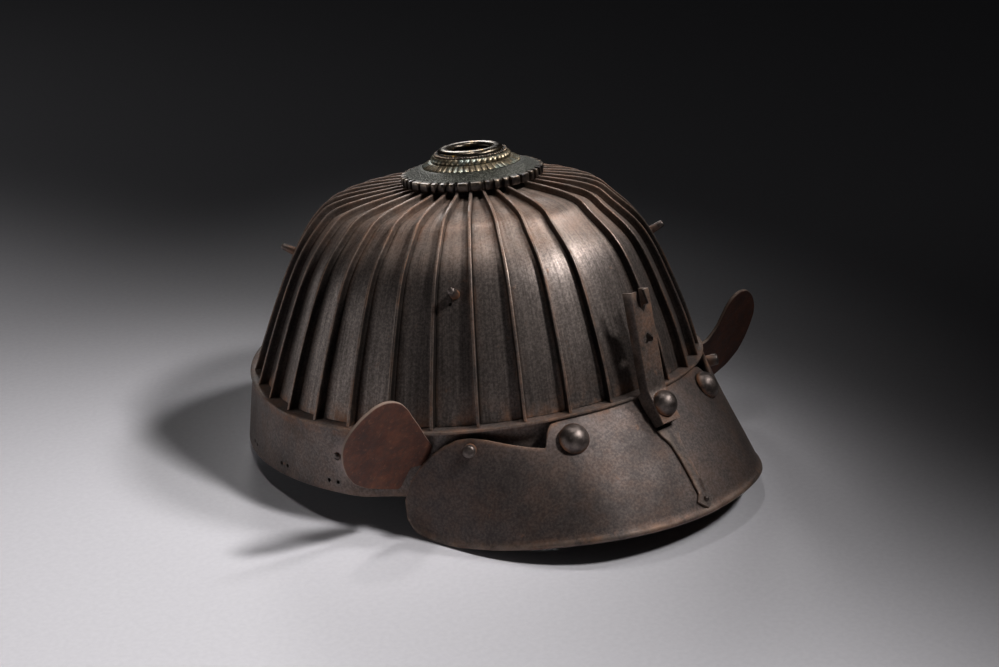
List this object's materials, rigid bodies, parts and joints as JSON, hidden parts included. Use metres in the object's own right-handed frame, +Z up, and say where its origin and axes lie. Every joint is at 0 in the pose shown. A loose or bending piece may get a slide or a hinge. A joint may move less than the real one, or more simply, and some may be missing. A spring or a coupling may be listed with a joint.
{
  "type": "kabuto helmet",
  "caption": "Ridged iron helmet bowl with an open crown fitting, waist band, flared visor, front crest holder and two small turned-out ear plates.",
  "frame": {"origin": "centre of the bounding box at the floor that the helmet lies on", "axes": "+Z up from the floor, -Y towards the front of the helmet, -X towards the wearer's right"},
  "size_m": [0.2596, 0.253, 0.1423],
  "materials": {
    "bowl_iron": "satin, dark brown",
    "band_iron": "satin, dark brown",
    "visor_iron": "satin, finely pitted",
    "rust_iron": "matte, mottled with rust",
    "holder_iron": "satin",
    "rivet_iron": "polished dark",
    "crown_dark": "dark patina",
    "crown_gilt": "worn gilt",
    "crown_bronze": "dark bronze, polished"
  },
  "bodies": {
    "root": {"plate_front": "bowl_iron", "plate_right_01": "bowl_iron", "plate_right_02": "bowl_iron", "plate_right_03": "bowl_iron", "plate_right_04": "bowl_iron", "plate_right_05": "bowl_iron", "plate_right_06": "bowl_iron", "plate_right_07": "bowl_iron", "plate_right_08": "bowl_iron", "plate_right_09": "bowl_iron", "plate_right_10": "bowl_iron", "plate_right_11": "bowl_iron", "plate_right_12": "bowl_iron", "plate_right_13": "bowl_iron", "plate_right_14": "bowl_iron", "plate_right_15": "bowl_iron", "plate_left_01": "bowl_iron", "plate_left_02": "bowl_iron", "plate_left_03": "bowl_iron", "plate_left_04": "bowl_iron", "plate_left_05": "bowl_iron", "plate_left_06": "bowl_iron", "plate_left_07": "bowl_iron", "plate_left_08": "bowl_iron", "plate_left_09": "bowl_iron", "plate_left_10": "bowl_iron", "plate_left_11": "bowl_iron", "plate_left_12": "bowl_iron", "plate_left_13": "bowl_iron", "plate_left_14": "bowl_iron", "plate_left_15": "bowl_iron", "plate_back": "bowl_iron", "waist_band": "band_iron", "visor": "visor_iron", "crown_base": "crown_dark", "crown_petals": "crown_gilt", "crown_rope": "crown_gilt", "crown_collar": "crown_dark", "crown_torus": "crown_bronze", "crest_holder": "holder_iron", "tail_plate": "holder_iron", "tail_rivet": "rivet_iron", "rivet_holder": "rivet_iron", "pin_front_right": "rivet_iron", "pin_back_right": "rivet_iron", "rivet_right": "rivet_iron", "peg_right": "rivet_iron", "ear_plate_right": "rust_iron", "ear_rivet_right": "rivet_iron", "pin_front_left": "rivet_iron", "pin_back_left": "rivet_iron", "rivet_left": "rivet_iron", "peg_left": "rivet_iron", "ear_plate_left": "rust_iron", "ear_rivet_left": "rivet_iron"}
  },
  "joints": []
}
